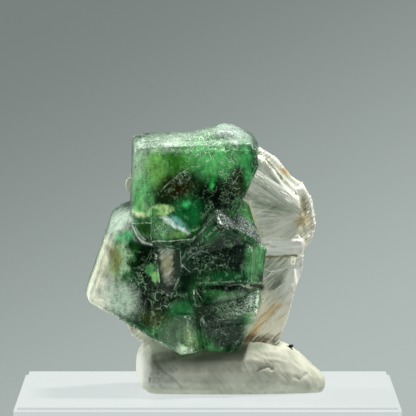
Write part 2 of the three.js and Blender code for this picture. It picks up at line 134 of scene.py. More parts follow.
class Nodes:
    """Adds nodes to one tree."""

    def __init__(self, tree):
        self.tree = tree

    def add(self, kind, settings=None, sockets=None, output=0):
        """A node of a kind, with its settings and then the values or links of its sockets."""
        node = self.tree.nodes.new(kind)
        for name, value in (settings or {}).items():
            setattr(node, name, value)
        for name, value in (sockets or {}).items():
            if isinstance(value, Field):
                self.tree.links.new(value.socket, node.inputs[name])
            else:
                node.inputs[name].default_value = value
        return Field(self, node.outputs[output]) if node.outputs else None

    def vector(self, operation, *values, output=0):
        return self.add("ShaderNodeVectorMath", {"operation": operation}, dict(enumerate(values)), output)

    def scaled(self, place, share):
        return self.add("ShaderNodeVectorMath", {"operation": "SCALE"}, {0: place, 3: share})

    def length(self, place):
        return self.vector("LENGTH", place, output=1)

    def dot(self, place, direction):
        return self.vector("DOT_PRODUCT", place, direction, output=1)

    def part(self, place, axis):
        return self.add("ShaderNodeSeparateXYZ", sockets={0: place}, output="XYZ".index(axis))

    def combined(self, x, y, z):
        return self.add("ShaderNodeCombineXYZ", sockets={0: x, 1: y, 2: z})

    def attribute(self, name, output="Fac"):
        """What a Geometry Nodes tree has left on the piece's points."""
        return self.add("ShaderNodeAttribute", {"attribute_name": name}, output=output)

    def stored(self, geometry, name, value, kind="FLOAT"):
        """Leaves a value on each point of a mesh under a name, for its finish to read."""
        settings = {"data_type": kind, "domain": "POINT"}
        sockets = {"Geometry": geometry, "Name": name, "Value": value}
        return self.add("GeometryNodeStoreNamedAttribute", settings, sockets)

    def moved(self, geometry, offset):
        return self.add("GeometryNodeSetPosition", sockets={"Geometry": geometry, "Offset": offset})

    def raised(self, geometry, height):
        """The surface moved outwards by a height in millimetres."""
        return self.moved(geometry, self.scaled(self.add("GeometryNodeInputNormal"), height * MM))

    def strewn(self, points, shape, turn, size):
        """The shape set on each point, turned and sized."""
        sockets = {"Points": points, "Instance": shape, "Rotation": turn, "Scale": size}
        return self.add("GeometryNodeInstanceOnPoints", sockets=sockets)

    def random(self, least, most, seed):
        """For each point a random number between two numbers, or a vector between two vectors."""
        vectors = isinstance(least, tuple)
        kind, low, high, output = ("FLOAT_VECTOR", 0, 1, 0) if vectors else ("FLOAT", 2, 3, 1)
        sockets = {low: least, high: most, "Seed": seed}
        return self.add("FunctionNodeRandomValue", {"data_type": kind}, sockets, output)

    def surface(self, sockets):
        return self.add("ShaderNodeBsdfPrincipled", sockets=sockets)

    def bump(self, strength, depth, height):
        """A relief for the light alone, as deep as a depth in millimetres."""
        sockets = {"Strength": strength, "Distance": depth * MM, "Height": height}
        return self.add("ShaderNodeBump", sockets=sockets)

    def turned(self, place, degrees):
        """A place turned about the axis from front to back, so that a slanting line lies level."""
        sockets = {"Vector": place, "Angle": math.radians(degrees)}
        return self.add("ShaderNodeVectorRotate", {"rotation_type": "Y_AXIS"}, sockets)

    def noise(self, place, size, detail=2.0, rough=0.5, output=0):
        sockets = {"Vector": place, "Scale": 1 / size, "Detail": detail, "Roughness": rough}
        return self.add("ShaderNodeTexNoise", {}, sockets, output)

    def blend(self, under, over, share):
        """One colour laid over another by a share. Plain colours are given as they are seen, in 0 to 255."""
        sockets = {0: share}
        for index, colour in ((6, under), (7, over)):
            sockets[index] = colour if isinstance(colour, Field) else seen(*colour)
        return self.add("ShaderNodeMix", {"data_type": "RGBA"}, sockets, 2)

    def layered(self, colour, *layers):
        """A colour with others laid over it in turn, each by its own share."""
        for over, share in layers:
            colour = self.blend(colour, over, share)
        return colour

    def strayed(self, place, size, reach):
        """A place moved about by up to reach, so that what is drawn there gets a natural edge."""
        stray = self.vector("SUBTRACT", self.noise(place, size, 3.0, output=1), (0.5, 0.5, 0.5))
        return self.vector("ADD", place, self.scaled(stray, 2 * reach))

    def within(self, place, middle, radii, turn=0.0, soft=0.35, ragged=0.0):
        """1 inside an ellipsoid and 0 outside. Its long side turns anticlockwise as seen from the front."""
        away = self.vector("SUBTRACT", place, middle)
        if turn:
            away = self.turned(away, turn)
        reach = self.length(self.vector("DIVIDE", away, radii)) + ragged
        return reach.rise(1 + soft, 1 - soft)

    def along(self, place, start, end, width, soft=0.5, ragged=0.0):
        """1 on a straight stroke from one point to another, seen from the front: depth hardly counts."""
        squeeze = Vector((1, 0.02, 1))
        first = Vector(start) * squeeze
        run = Vector(end) * squeeze - first
        away = self.vector("SUBTRACT", self.vector("MULTIPLY", place, squeeze), first)
        share = self.dot(away, run / run.length_squared).most(0.0).least(1.0)
        distance = self.length(self.vector("SUBTRACT", away, self.scaled(run, share))) / (width / 2) + ragged
        return distance.rise(1 + soft, 1 - soft)

    def path(self, place, points, width, soft=0.5, ragged=0.0):
        """1 on a stroke through several points."""
        ends = zip(points, points[1:])
        return greatest(self.along(place, start, end, width, soft, ragged) for start, end in ends)

    def lace(self, place, size, width):
        """A net of thin lines."""
        sockets = {"Vector": place, "Scale": 1 / size}
        from_line = self.add("ShaderNodeTexVoronoi", {"feature": "DISTANCE_TO_EDGE"}, sockets)
        return from_line.rise(width, width * 0.3)

    def ragged(self, place, size, depth):
        """How much to add to a distance, so that the edge that it draws is torn and not smooth."""
        return (self.noise(place, size, 5.0, 0.75) - 0.5) * depth

    def worms(self, place, size, width):
        """Thin curly lines, as etching leaves."""
        return abs(self.noise(place, size, 3.0, 0.6) - 0.5).rise(width, width * 0.3)


def seen(red, green, blue):
    """A colour as it is seen, in 0 to 255, as the linear colour that a shader takes."""
    shares = (value / 255 for value in (red, green, blue))
    return (*(s / 12.92 if s <= 0.04045 else ((s + 0.055) / 1.055) ** 2.4 for s in shares), 1.0)


def settle(piece):
    """Works a piece's modifiers into its mesh."""
    depsgraph = bpy.context.evaluated_depsgraph_get()
    mesh = bpy.data.meshes.new_from_object(piece.evaluated_get(depsgraph), depsgraph=depsgraph)
    piece.modifiers.clear()
    piece.data = mesh


def new_object(name, data):
    """A new object in the scene."""
    added = bpy.data.objects.new(name, data)
    bpy.context.scene.collection.objects.link(added)
    return added


def copied(name, source):
    """A new piece with a welded copy of another object's mesh."""
    mesh = source.data.copy()
    mesh.materials.clear()
    welded = bmesh.new()
    welded.from_mesh(mesh)
    bmesh.ops.remove_doubles(welded, verts=welded.verts, dist=1e-6)
    welded.to_mesh(mesh)
    welded.free()
    return new_object(name, mesh)


def remesh(piece, voxel, polish):
    """Gives a piece small even faces in the same form, and polishes its steps."""
    even = piece.modifiers.new("remesh", "REMESH")
    even.mode = "VOXEL"
    even.voxel_size = voxel * MM
    polished = piece.modifiers.new("polish", "SMOOTH")
    polished.factor = 0.5
    polished.iterations = polish
    settle(piece)


def geometry_tree(name, *sizes):
    """A Geometry Nodes tree with named number inputs, and its inputs as fields."""
    tree = bpy.data.node_groups.new(name, "GeometryNodeTree")
    kinds = {
        "Geometry": "NodeSocketGeometry",
        "Neighbour": "NodeSocketObject",
        "Finish": "NodeSocketMaterial",
        **dict.fromkeys(sizes, "NodeSocketFloat"),
    }
    for socket, kind in kinds.items():
        tree.interface.new_socket(socket, in_out="INPUT", socket_type=kind)
    tree.interface.new_socket("Geometry", in_out="OUTPUT", socket_type="NodeSocketGeometry")
    nodes = Nodes(tree)
    given = tree.nodes.new("NodeGroupInput")
    return nodes, {socket.name: Field(nodes, socket) for socket in given.outputs if socket.name}


def closed_tree(nodes, given, geometry):
    """The tree with its end: instances made real, and the finish set."""
    real = nodes.add("GeometryNodeRealizeInstances", sockets={"Geometry": geometry})
    coated = nodes.add("GeometryNodeSetMaterial", sockets={"Geometry": real, "Material": given["Finish"]})
    nodes.add("NodeGroupOutput", sockets={0: coated})
    return nodes


def grow(piece, nodes, **values):
    """Runs a tree on a piece, with its inputs set by their identifiers, and keeps the plain mesh."""
    modifier = piece.modifiers.new(nodes.tree.name, "NODES")
    modifier.node_group = nodes.tree
    for item in nodes.tree.interface.items_tree:
        if item.in_out == "INPUT" and item.name in values:
            modifier[item.identifier] = values[item.name]
    settle(piece)


def place_in_mm(nodes):
    """Where a point is, in millimetres: of a surface's shader, or of a mesh's own points."""
    if nodes.tree.type == "SHADER":
        place = nodes.add("ShaderNodeTexCoord", output="Object")
    else:
        place = nodes.add("GeometryNodeInputPosition")
    return nodes.scaled(place, PER_METRE)


def finish_of(name):
    """A new material and its empty tree."""
    material = bpy.data.materials.new(name)
    material.use_nodes = True
    material.node_tree.nodes.clear()
    return material, Nodes(material.node_tree)


def close_finish(nodes, sockets):
    """Ends a finish that is one plain surface with these settings."""
    nodes.add("ShaderNodeOutputMaterial", sockets={"Surface": nodes.surface(sockets)})


# Colour zones in the crystals: what is seen, its colour, X and Z of its middle, half its width and height,
# how far it is turned anticlockwise as seen from the front, and how soft its edge is.
ZONES = [
    # The upper crystal.
    ("pale left band", (154, 184, 152), -8.6, 30.5, 1.0, 4.2, 0, 0.4),
    ("dark left side", (66, 90, 76), -9.9, 28.6, 0.3, 5.2, 0, 0.3),
    ("light spot", (204, 238, 204), -7.0, 32.8, 0.4, 0.3, 30, 0.6),
    ("frosted top", (120, 140, 124), -2.0, 34.5, 8.2, 1.5, 5, 0.5),
    ("second corner", (134, 148, 144), 3.6, 35.5, 2.8, 1.3, -20, 0.4),
    ("right edge", (58, 146, 82), 5.3, 31.6, 0.9, 2.8, 8, 0.4),
    ("bright green", (84, 170, 96), 0.6, 31.8, 4.4, 2.4, -5, 0.35),
    ("yellow green", (118, 174, 90), -6.5, 30.6, 1.7, 2.4, 0, 0.5),
    ("green middle", (58, 126, 44), -3.7, 31.6, 1.9, 1.8, 0, 0.5),
    ("green left", (94, 178, 104), -8.3, 27.4, 1.3, 2.4, 0, 0.5),
    ("dark olive", (30, 38, 8), -3.6, 28.3, 2.8, 1.9, 22, 0.4),
    ("brown", (36, 28, 4), -3.4, 27.8, 1.0, 0.7, 20, 0.6),
    ("black", (2, 14, 6), 1.5, 27.1, 3.6, 2.0, 8, 0.35),
    ("black foot", (6, 34, 20), -0.5, 25.6, 1.5, 1.4, 30, 0.4),
    ("dark right", (28, 40, 8), 4.2, 29.1, 1.1, 2.1, 5, 0.3),
    ("emerald", (18, 100, 48), -2.3, 24.9, 2.0, 1.9, -20, 0.35),
    ("emerald glint", (66, 190, 108), -2.6, 26.0, 0.6, 0.35, 0, 0.6),
    ("bright column", (50, 172, 80), 0.8, 28.8, 0.33, 0.9, -6, 0.4),
    ("pale green foot", (118, 186, 116), -8.4, 25.3, 1.1, 1.0, 0, 0.4),
    ("cream tint", (222, 228, 178), -8.6, 24.4, 0.8, 0.3, -12, 0.6),
    ("pale triangle", (164, 212, 154), -7.6, 25.1, 0.45, 1.0, 0, 0.2),
    ("yellow patch", (180, 218, 148), -5.5, 25.2, 1.45, 0.85, -6, 0.12),
    ("leaf in it", (74, 130, 58), -6.6, 25.1, 0.45, 0.3, -40, 0.3),
    ("speckled foot", (72, 128, 76), -5.7, 22.5, 1.6, 1.6, 0, 0.2),
    ("dark wedge", (40, 84, 34), -8.0, 22.7, 1.0, 0.8, -35, 0.15),
    ("clear corner", (150, 176, 154), -9.0, 21.6, 0.8, 1.5, 32, 0.25),
    ("blue edge of the streak", (120, 182, 170), -3.5, 23.6, 1.3, 0.42, -38, 0.4),
    ("streak", (228, 246, 242), -4.5, 23.4, 1.6, 0.34, -30, 0.25),
    ("end of the streak", (232, 246, 244), -2.7, 22.4, 0.9, 0.27, -34, 0.3),
    ("olive band", (96, 140, 72), -3.6, 21.9, 1.2, 0.6, 5, 0.3),
    ("dark foot", (30, 72, 32), -1.6, 21.8, 0.9, 0.7, 30, 0.3),
    # The left crystal.
    ("dark middle", (10, 24, 8), -6.7, 13.6, 3.6, 3.2, 0, 0.35),
    ("black", (6, 20, 8), -7.9, 17.9, 2.3, 3.0, 12, 0.35),
    ("dark green", (24, 74, 30), -9.9, 19.3, 0.9, 1.6, 0, 0.5),
    ("black band", (6, 18, 6), -7.0, 13.6, 1.5, 1.9, 25, 0.4),
    ("white corner", (226, 224, 208), -14.4, 14.4, 2.5, 3.6, 0, 0.4),
    ("cream edge", (210, 208, 186), -13.7, 18.7, 1.5, 3.8, -18, 0.4),
    ("shoulder", (190, 204, 190), -11.8, 23.5, 2.2, 2.4, 0, 0.4),
    ("green neck", (104, 206, 140), -10.7, 21.5, 1.2, 0.8, 20, 0.5),
    ("pale halo", (164, 198, 158), -11.5, 18.5, 1.4, 2.4, 0, 0.15),
    ("olive", (134, 142, 88), -12.0, 18.3, 0.9, 2.0, -6, 0.45),
    ("brown tint", (126, 112, 64), -12.6, 19.4, 0.35, 0.7, 20, 0.6),
    ("grey green", (168, 186, 170), -11.2, 13.2, 1.9, 2.5, 35, 0.5),
    ("green window", (84, 150, 92), -7.4, 17.1, 0.8, 0.75, 40, 0.15),
    ("lime window", (156, 214, 136), -6.4, 16.0, 0.8, 0.7, -20, 0.2),
    ("olive foot", (50, 58, 16), -6.9, 10.5, 1.7, 1.1, -25, 0.35),
    ("deep green", (44, 112, 64), -3.1, 11.8, 1.7, 1.1, 5, 0.25),
    ("silver foot", (74, 104, 74), -3.9, 8.6, 2.4, 1.8, 28, 0.3),
    ("yellow green lights", (116, 146, 98), -2.1, 7.9, 0.6, 1.6, 12, 0.5),
    ("bright tip", (200, 218, 190), -2.9, 6.4, 0.9, 0.45, 0, 0.4),
    # The front crystal, and the seam to its right.
    ("dark face", (10, 26, 18), 2.7, 19.1, 3.8, 2.7, -8, 0.3),
    ("dark left", (8, 34, 18), -1.1, 19.0, 1.7, 2.1, 0, 0.4),
    ("green upper left", (36, 98, 50), 0.4, 22.1, 1.5, 1.1, 35, 0.5),
    ("right facet", (50, 122, 64), 6.5, 17.9, 1.3, 2.6, 4, 0.2),
    ("foot", (18, 78, 40), 3.2, 16.3, 2.6, 0.7, 3, 0.35),
    ("notch", (2, 8, 4), 1.9, 23.3, 0.6, 0.5, -40, 0.3),
    ("seam beside the mica", (40, 98, 42), 6.2, 24.4, 0.5, 2.4, 38, 0.3),
    # The lower crystal, and the dark to its left.
    ("dark", (16, 32, 22), 1.4, 10.2, 2.9, 2.2, -12, 0.35),
    ("frosted", (84, 116, 84), 4.3, 12.4, 3.3, 1.5, 12, 0.25),
    # painted shade in the gap between the crystals
    ("gap", (6, 18, 12), 3.6, 14.5, 3.8, 0.55, -2, 0.25),
    ("dark corner", (4, 12, 8), -0.8, 14.0, 0.6, 0.9, 0, 0.2),
    ("green band", (6, 30, 10), 3.6, 8.1, 2.8, 1.2, 15, 0.3),
    ("dark right corner", (12, 32, 14), 7.4, 15.6, 0.45, 1.2, -5, 0.2),
    ("green foot", (10, 38, 16), 3.4, 7.2, 1.9, 0.7, 12, 0.4),
    # painted shade between the crystals
    ("dark between the crystals", (12, 34, 20), -2.6, 16.6, 0.9, 3.0, 0, 0.4),
    ("pale right", (158, 162, 138), 6.7, 9.9, 0.9, 2.4, -26, 0.5),
]
ZONE_DEPTH, ZONE_REACH = -7.0, 9.0  # the middle of the zones from front to back, and half their depth

STROKE_SHARE = 0.75  # how much of the skin's own colour a line covers
# Lines in the crystals: what is seen, its colour, its width and the points that it runs through, X and Z.
STROKES = [
    ("vein", (176, 214, 168), 0.16, [(-5.9, 27.7), (-4.3, 29.4), (-1.9, 31.0), (-0.7, 31.0)]),
    ("level line", (204, 228, 196), 0.17, [(-9.7, 23.4), (-7.2, 23.4)]),
    ("upright line", (172, 204, 168), 0.14, [(-7.2, 26.2), (-7.2, 21.2)]),
    ("light in the emerald", (128, 214, 140), 0.3, [(-2.0, 22.4), (-1.1, 22.6), (-0.2, 23.2)]),
    ("rim of the clear corner", (220, 232, 216), 0.24,
     [(-9.7, 23.0), (-9.2, 21.7), (-8.3, 20.9), (-7.1, 20.5)]),
    ("inner rim", (188, 208, 188), 0.15, [(-9.4, 23.0), (-8.8, 21.9), (-7.9, 21.2)]),
    ("foot rim", (208, 230, 204), 0.2, [(-7.1, 20.9), (-5.2, 21.0), (-1.7, 21.3), (-0.6, 22.2), (0.0, 23.0)]),
    ("net on the vein", (166, 196, 160), 0.13,
     [(-4.2, 29.2), (-3.3, 30.1), (-2.3, 30.3), (-1.8, 29.7), (-2.6, 28.9)]),
    ("foot of the net", (166, 196, 160), 0.12, [(-4.2, 29.2), (-3.5, 28.7), (-2.6, 28.9), (-3.3, 30.1)]),
    ("middle of the net", (166, 196, 160), 0.12, [(-3.9, 29.5), (-2.9, 29.3), (-2.0, 29.5), (-2.8, 30.2)]),
    ("slanting line", (88, 124, 82), 0.13, [(-7.1, 19.9), (-8.4, 17.0)]),
    ("highlight in the gap", (196, 212, 196), 0.22, [(2.9, 14.8), (4.7, 14.9), (6.1, 14.4)]),
    ("line under the front crystal", (150, 176, 150), 0.13, [(-1.3, 14.5), (-0.2, 12.6)]),
    ("front crystal, left edge", (150, 180, 154), 0.18,
     [(1.6, 25.1), (-2.4, 20.1), (-3.2, 18.1), (-2.0, 16.8)]),
    ("front crystal, upper arc", (158, 186, 160), 0.13,
     [(-2.3, 18.5), (-1.6, 19.3), (-0.6, 19.7), (0.4, 19.4), (1.1, 18.7)]),
    ("front crystal, lower arc", (158, 186, 160), 0.13, [(0.9, 18.1), (1.8, 17.6), (2.7, 17.8)]),
    ("edge band of the left crystal", (66, 84, 72), 0.5, [(-10.3, 9.7), (-7.4, 8.0), (-4.3, 6.5)]),
    ("dashes on the band", (178, 192, 186), 0.14, [(-10.4, 9.5), (-7.5, 7.8), (-4.5, 6.4)]),
    ("cream seam", (206, 204, 172), 0.22, [(5.1, 26.6), (6.6, 24.2), (8.1, 21.9)]),
]

# Etched places of the skin, and painted highlights on its top drawn as white etching: X and Z of the middle,
# half the width and height, turn, and how matt it is, how thick its white specks and how thick its curly
# lines.
ETCHING = [
    # The left crystal.
    ("shoulder", -11.8, 23.8, 2.3, 2.6, 40, 0.55, 0.4, 0.8),
    ("white corner", -14.4, 14.4, 2.7, 3.6, 0, 0.8, 0.25, 0.1),
    ("cream edge", -13.6, 18.6, 1.5, 3.8, -18, 0.7, 0.15, 0.1),
    ("grey etching", -11.0, 12.9, 2.2, 2.7, 35, 0.4, 0.9, 1.0),
    ("dark lines", -9.0, 15.1, 1.5, 2.2, -20, 0.0, 0.15, 1.0),
    ("band of lines", -5.6, 13.3, 2.4, 1.8, 15, 0.0, 0.25, 1.0),
    ("blue specks", -8.3, 12.2, 0.5, 1.3, 15, 0.2, 0.9, 0.3),
    ("olive specks", -6.5, 10.6, 2.2, 1.3, -25, 0.0, 0.45, 0.4),
    ("silver foot", -3.6, 8.5, 2.5, 2.0, 28, 0.45, 0.4, 0.3),
    # The upper crystal.
    ("top", -2.0, 34.6, 8.4, 1.6, 5, 0.5, 0.7, 1.0),
    # painted highlights on the top, drawn as white etching
    ("painted highlight on the top", -4.1, 34.1, 1.7, 0.5, 3, 0.9, 0.9, 0.9),
    ("left glint", -8.6, 34.0, 0.5, 0.5, 0, 0.9, 0.8, 0.5),
    ("second corner", 3.6, 35.4, 2.9, 1.6, -20, 0.7, 0.8, 0.9),
    ("upper lines", 0.8, 33.1, 4.2, 1.7, -5, 0.1, 0.2, 1.0),
    ("right lines", 3.4, 29.9, 1.6, 3.4, 5, 0.0, 0.25, 1.0),
    ("patch on the vein", -2.9, 29.6, 1.1, 0.8, 35, 0.1, 0.7, 1.0),
    ("left specks", -8.5, 30.4, 1.4, 4.6, 0, 0.25, 0.8, 0.4),
    ("lower left lines", -8.2, 27.2, 1.4, 1.8, 0, 0.1, 0.35, 0.7),
    ("speckled foot", -5.8, 22.5, 1.5, 1.5, 0, 0.2, 1.0, 0.8),
    # The front crystal.
    ("left lines", -0.9, 18.8, 1.9, 2.1, 0, 0.0, 0.05, 0.8),
    ("fine lines", 3.1, 19.2, 3.2, 2.5, 0, 0.0, 0.05, 0.2),
    ("right facet", 6.5, 18.1, 1.4, 2.7, 0, 0.15, 0.1, 0.5),
    # The lower crystal.
    ("frosted face", 4.3, 12.6, 3.3, 1.5, 8, 0.6, 0.4, 0.3),
    ("specks", 1.3, 10.1, 2.8, 2.0, -12, 0.05, 0.35, 0.4),
]

# Broken faces: the middle, half sizes, turn, the direction that the face looks in, and how grainy it is.
ROUGH_FACES = [
    ("front crystal, upper right", (4.8, -8.5, 22.7), (4.1, 4.0, 1.5), -33, (0.66, -0.44, 0.61), 1.0),
    ("front crystal, upper left", (-0.4, -10.0, 22.6), (3.4, 3.0, 0.7), 50, (-0.6, -0.68, 0.42), 0.3),
    ("lower crystal, top", (4.3, -7.0, 12.6), (3.4, 4.0, 1.6), 8, (-0.16, -0.44, 0.89), 0.5),
]

# Places of the skin that are clear enough to look through: X and Z, half the width and height, and turn.
CLEAR_PLACES = [(-9.0, 21.8, 0.9, 1.5, 32), (-9.7, 29.0, 0.3, 5.5, 0)]
CLEARNESS = 0.8  # how much of the veils is missing there

# Places where the clear skin is thicker: the middle, half sizes, turn and how soft the edge is.
THICK_SKIN = [((-9.0, -8.0, 21.6), (2.0, 3.0, 2.0), 0, 0.5), ((-1.5, -6.0, 35.2), (9.0, 8.0, 1.0), 2, 0.6)]
THICKER, CORE_WAVES = 0.8, 0.5  # how much thicker it is there, and how high the waves of the core are

WISP_TONE, FIBRE_TONE, GRAIN_TONE = 4.0, 1.8, 1.6  # how strongly each pattern shades a zone's colour
DARKEST, LIGHTEST = 0.25, 2.2  # the darkest and lightest shade, as a share of the zone's own colour


def at_depth(points, depth):
    """Points that are given as they are seen from the front, X and Z, at a depth."""
    return [(x, depth, z) for x, z in points]


def zone_colours(nodes, place):
    """The colour of the growth zones at a place in the crystals."""
    drawn = nodes.strayed(nodes.strayed(place, 2.4, 0.6), 0.8, 0.3)
    torn = nodes.ragged(place, 0.8, 2.0)
    broad = nodes.noise(place, 4.5, 4.0, 0.6)
    colour = nodes.blend((14, 52, 26), (56, 116, 64), broad.rise(0.42, 0.62))
    for _, tint, x, z, width, height, turn, soft in ZONES:
        area = nodes.within(drawn, (x, ZONE_DEPTH, z), (width, ZONE_REACH, height), turn, soft, torn)
        colour = nodes.blend(colour, tint, area)
    return colour


def veined_colour(nodes, place):
    """The zones' colour with its finer shades: wisps, upright fibres, grains and pale veils."""
    wisps = nodes.noise(nodes.vector("MULTIPLY", place, (1.0, 1.0, 0.6)), 0.9, 5.0, 0.75)
    upright = nodes.vector("MULTIPLY", nodes.strayed(place, 1.5, 0.2), (1.0, 1.0, 0.2))
    fibres = (nodes.noise(upright, 0.3, 3.0, 0.6) - 0.5) * nodes.noise(place, 2.6, 1.0).rise(0.4, 0.6)
    fine = nodes.noise(place, 0.22, 3.0, 0.7)
    tone = (wisps - 0.5) * WISP_TONE + fibres * FIBRE_TONE + (fine - 0.5) * GRAIN_TONE
    colour = nodes.scaled(nodes.attribute("zones", "Color"), (1 + tone).most(DARKEST).least(LIGHTEST))
    veils = nodes.worms(nodes.strayed(place, 1.0, 0.2), 2.4, 0.025) * wisps.rise(0.46, 0.6)
    return nodes.blend(colour, (170, 212, 168), (veils * 0.5).most(fine.rise(0.62, 0.8) * 0.4))


def etched_areas(nodes, place):
    """How matt the skin is at a place, and how thick its white specks and its curly lines, from 0 to 1."""
    drawn = nodes.strayed(place, 1.2, 0.5)
    torn = nodes.ragged(place, 0.9, 1.8)
    patches = nodes.noise(place, 4.0, 3.0, 0.6).rise(0.55, 0.7)
    matt, speckled, lined = patches * 0.1, patches * 0.2, patches * 0.4
    for _, x, z, width, height, turn, ground, specks, lines in ETCHING:
        area = nodes.within(drawn, (x, ZONE_DEPTH, z), (width, ZONE_REACH, height), turn, 0.35, torn)
        matt = matt.most(area * ground)
        speckled = speckled.most(area * specks)
        lined = lined.most(area * lines)
    return matt, speckled, lined


def etched_marks(nodes, place):
    """White specks and thin curly lines, thick where the etched areas say so."""
    bent = nodes.strayed(place, 0.6, 0.2)
    broken = nodes.noise(place, 1.1, 3.0, 0.6)
    specks = nodes.noise(place, 0.17, 2.0, 0.7).rise(0.55, 0.66)
    net = nodes.lace(bent, 0.9, 0.05).most(nodes.lace(bent, 0.45, 0.06) * 0.4) * broken.rise(0.47, 0.56)
    curls = nodes.worms(bent, 1.0, 0.022) * broken.rise(0.52, 0.45)
    return (specks * nodes.attribute("speckled")).most(net.most(curls) * nodes.attribute("lined"))


def rough_faces(nodes, place):
    """How grainy a place is: above 0 only on the broken faces."""
    facing = nodes.add("GeometryNodeInputNormal")
    drawn = nodes.strayed(place, 0.8, 0.2)
    areas = []
    for _, middle, radii, turn, outlook, grainy in ROUGH_FACES:
        share = nodes.dot(facing, Vector(outlook).normalized()).rise(0.75, 0.9)
        areas.append(nodes.within(drawn, middle, radii, turn, 0.2) * share * grainy)
    return greatest(areas)


def edge_glints_and_groove_shade(nodes, place):
    """How strong the painted glints on a sharp edge are, and how dark the painted shade in a groove, from the
    marks on the points.
    """
    edge = nodes.attribute("edge")
    edge_glint = edge.rise(0.03, 0.08) * nodes.noise(place, 0.7, 4.0, 0.75).rise(0.42, 0.56)
    return edge_glint, edge.rise(-0.015, -0.06)


def crystal_skin():
    """Clear fluorite, clouded by veils of its own colour, with matt and etched places, painted glints on its
    sharp edges, painted shade in its grooves and a painted glow.
    """
    material, nodes = finish_of("fluorite skin")
    place = place_in_mm(nodes)
    colour = veined_colour(nodes, place)
    bright = nodes.dot(nodes.attribute("zones", "Color"), (0.3, 0.6, 0.1)).rise(0.05, 0.25)
    etching_and_glint_white = nodes.blend((160, 198, 164), (222, 238, 220), bright)
    drawn = nodes.strayed(nodes.strayed(place, 1.6, 0.22), 0.4, 0.08)
    torn = nodes.ragged(place, 0.5, 4.5)
    front = nodes.part(place, "Y").rise(-4.5, -6.0)
    strokes = []
    for _, tint, width, points in STROKES:
        stroke = nodes.path(drawn, at_depth(points, ZONE_DEPTH), width, 0.6, torn) * front * STROKE_SHARE
        colour = nodes.blend(colour, tint, stroke)
        strokes.append(stroke)
    clear = greatest(
        nodes.within(drawn, (x, ZONE_DEPTH, z), (width, ZONE_REACH, height), turn, 0.3)
        for x, z, width, height, turn in CLEAR_PLACES
    )
    cloud = greatest(strokes).most(CLOUDINESS * (1 - CLEARNESS * clear))

    matt, white, rough = nodes.attribute("matt"), etched_marks(nodes, place), nodes.attribute("rough")
    edge_glint, groove = edge_glints_and_groove_shade(nodes, place)
    grain = nodes.noise(place, 0.22, 3.0, 0.7)
    broken = nodes.blend((90, 106, 98), (158, 174, 164), grain.rise(0.4, 0.66))
    colour = nodes.layered(
        colour,
        ((186, 206, 188), matt * 0.3),
        (broken, rough),
        # painted shade in the grooves
        ((4, 12, 8), groove * 0.8),
        # white etching marks, and painted glints on the sharp edges
        (etching_and_glint_white, (white * 0.8).most(edge_glint * 0.4)),
        # brighter painted glints on the sharp edges
        ((236, 242, 236), edge_glint * grain.rise(0.5, 0.6)),
    )
    cloud = greatest((cloud, matt, white * 0.9, rough * 0.9, edge_glint * 0.8, groove * 0.7))

    ripple = nodes.noise(place, 0.5, 4.0, 0.65) * (0.35 + 0.6 * matt) + white * 0.5 + grain * rough * 1.5
    shared = {"IOR": REFRACTION, "Normal": nodes.bump(0.4, 0.12, ripple)}
    through = {"Base Color": seen(240, 250, 242), "Roughness": 0.08 + 0.3 * matt, "Transmission Weight": 1.0}
    veiled = {"Base Color": colour, "Roughness": 0.3 + 0.35 * matt, "Specular IOR Level": 0.3}
    # painted glow: the veils send out light in their own colour
    painted_glow = {"Emission Color": colour, "Emission Strength": PAINTED_INNER_GLOW}
    parts = {1: nodes.surface({**through, **shared}), 2: nodes.surface({**veiled, **painted_glow, **shared})}
    surface = nodes.add("ShaderNodeMixShader", sockets={0: cloud, **parts})
    sockets = {"Color": seen(190, 232, 200), "Density": ABSORPTION}
    volume = nodes.add("ShaderNodeVolumeAbsorption", sockets=sockets)
    nodes.add("ShaderNodeOutputMaterial", sockets={"Surface": surface, "Volume": volume})
    return material


def zone_finish():
    """The coloured growth zones inside the crystals, which glow with painted light of their own colour."""
    material, nodes = finish_of("fluorite zones")
    colour = veined_colour(nodes, place_in_mm(nodes))
    # painted glow: the zones send out light in their own colour
    painted_glow = {"Emission Color": colour, "Emission Strength": PAINTED_INNER_GLOW}
    close_finish(nodes, {"Base Color": colour, "Roughness": 0.6, "Specular IOR Level": 0.0, **painted_glow})
    return material


def grit_finish():
    """Dull broken fluorite grains, some dark and some light."""
    material, nodes = finish_of("fluorite grit")
    light = nodes.noise(place_in_mm(nodes), 0.3, 2.0).rise(0.4, 0.66)
    colour = nodes.blend((80, 90, 84), (134, 144, 136), light)
    close_finish(nodes, {"Base Color": colour, "Roughness": 0.5, "IOR": REFRACTION})
    return material


def crystal_relief():
    """Growth hillocks and etching on the crystals' faces, and what their finish reads on each point."""
    nodes, given = geometry_tree("crystal relief", "Hillock height", "Etching depth", "Grain height")
    place = place_in_mm(nodes)
    matt, speckled, lined = etched_areas(nodes, place)
    rough = rough_faces(nodes, place)
    hillocks = nodes.noise(place, 2.6, 2.0) - 0.5
    pits = (nodes.noise(place, 0.5, 3.0, 0.7) - 0.5) * (matt + speckled * 0.5 + lined * 0.5)
    grains = (nodes.noise(place, 0.45, 3.0, 0.8) - 0.5) * rough
    height = hillocks * given["Hillock height"] + pits * given["Etching depth"]
    height = height + grains * given["Grain height"]
    marked = edge_marks(nodes, given["Geometry"], rounds=9)
    marked = nodes.stored(marked, "zones", zone_colours(nodes, place), "FLOAT_COLOR")
    for name, value in (("matt", matt), ("speckled", speckled), ("lined", lined), ("rough", rough)):
        marked = nodes.stored(marked, name, value)
    return closed_tree(nodes, given, nodes.raised(marked, height))


def edge_marks(nodes, geometry, rounds):
    """Leaves on each point how far it stands out from its neighbourhood, in millimetres."""
    place = place_in_mm(nodes)
    sockets = {"Value": place, "Iterations": rounds}
    around = nodes.add("GeometryNodeBlurAttribute", {"data_type": "FLOAT_VECTOR"}, sockets)
    out = nodes.dot(nodes.vector("SUBTRACT", place, around), nodes.add("GeometryNodeInputNormal"))
    return nodes.stored(geometry, "edge", out)


